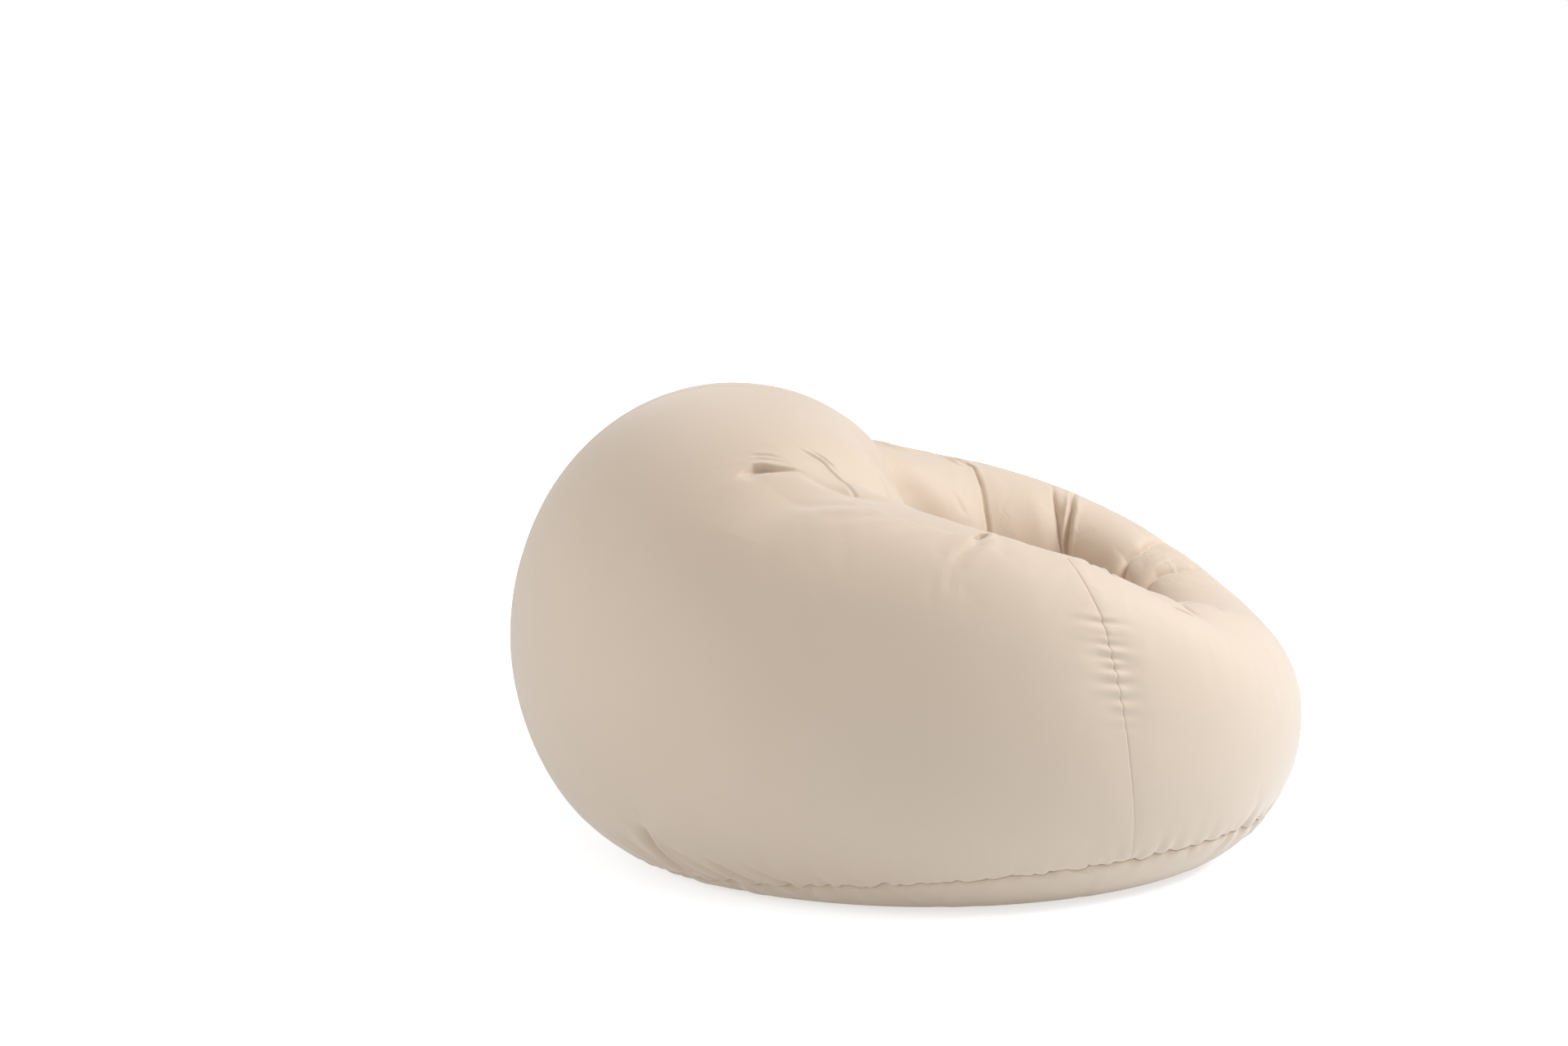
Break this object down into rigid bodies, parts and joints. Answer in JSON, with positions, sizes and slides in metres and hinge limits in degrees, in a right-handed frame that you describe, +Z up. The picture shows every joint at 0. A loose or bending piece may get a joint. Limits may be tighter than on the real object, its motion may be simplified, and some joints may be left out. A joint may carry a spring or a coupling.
{
  "type": "inflatable armchair",
  "caption": "Inflatable lounge armchair: ring-shaped air tube that rises to a rounded back, round seat well, zipped textile cover with darts and a side seam.",
  "frame": {"origin": "on the floor under the middle of the chair's bounding box", "axes": "+Z up, sitter faces -Y, the back of the chair is at +Y, +X is the sitter's left"},
  "size_m": [1.0994, 1.245, 0.73],
  "materials": {
    "cover_cloth": "matte woven, beige",
    "bladder_film": "milky film",
    "zip_tape": "woven tape",
    "zip_teeth": "moulded",
    "zip_metal": "nickel plated",
    "valve_plastic": "moulded",
    "valve_silicone": "soft matte"
  },
  "bodies": {
    "chair": {"cover_side_right": "cover_cloth", "cover_side_left": "cover_cloth", "cover_front": "cover_cloth", "cover_seat": "cover_cloth", "base_panel_right": "cover_cloth", "base_panel_left": "cover_cloth", "zip_tape_right": "zip_tape", "zip_tape_left": "zip_tape", "zip_teeth_right": "zip_teeth", "zip_teeth_left": "zip_teeth", "zip_stop_front": "zip_metal", "zip_stop_back": "zip_metal", "ring_bladder": "bladder_film", "seat_bladder": "bladder_film", "port_patch": "cover_cloth", "ring_valve_base": "valve_plastic", "ring_valve_core": "valve_plastic", "ring_valve_flap": "valve_silicone", "seat_valve_base": "valve_plastic", "seat_valve_core": "valve_plastic", "seat_valve_flap": "valve_silicone"},
    "zip_slider": {"zip_slider": "zip_metal"},
    "zip_pull": {"zip_pull": "zip_metal"},
    "ring_valve_tether": {"ring_valve_tether": "valve_silicone"},
    "ring_valve_cap": {"ring_valve_cap": "valve_plastic"},
    "seat_valve_tether": {"seat_valve_tether": "valve_silicone"},
    "seat_valve_cap": {"seat_valve_cap": "valve_plastic"}
  },
  "joints": [
    {"name": "zip_slide", "type": "slide", "parent": "chair", "child": "zip_slider", "axis": [0, -1, 0], "range_m": [0, 0.415], "deforming": ["zip_teeth_right", "zip_teeth_left"]},
    {"name": "zip_pull_swing", "type": "hinge", "parent": "zip_slider", "child": "zip_pull", "pos_m": [0, 0.1654, 0.0097], "axis": [1, 0, 0], "range_deg": [0, 180]},
    {"name": "ring_valve_cap_lift", "type": "slide", "parent": "chair", "child": "ring_valve_tether", "axis": [0.2065, 0.811, -0.5473], "range_m": [0, 0.005]},
    {"name": "ring_valve_cap_turn", "type": "hinge", "parent": "ring_valve_tether", "child": "ring_valve_cap", "pos_m": [0.11391, 0.53515, 0.11362], "axis": [0.2065, 0.811, -0.5473], "range_deg": [0, 360]},
    {"name": "seat_valve_cap_lift", "type": "slide", "parent": "chair", "child": "seat_valve_tether", "axis": [0, 0, -1], "range_m": [0, 0.005]},
    {"name": "seat_valve_cap_turn", "type": "hinge", "parent": "seat_valve_tether", "child": "seat_valve_cap", "pos_m": [0.09, -0.1425, 0.046], "axis": [0, 0, -1], "range_deg": [0, 360]}
  ],
  "couplings": [
    {"joint": "ring_valve_cap_lift", "follows": "ring_valve_cap_turn", "m_per_rad": 0.00079577},
    {"joint": "seat_valve_cap_lift", "follows": "seat_valve_cap_turn", "m_per_rad": 0.00079577}
  ]
}
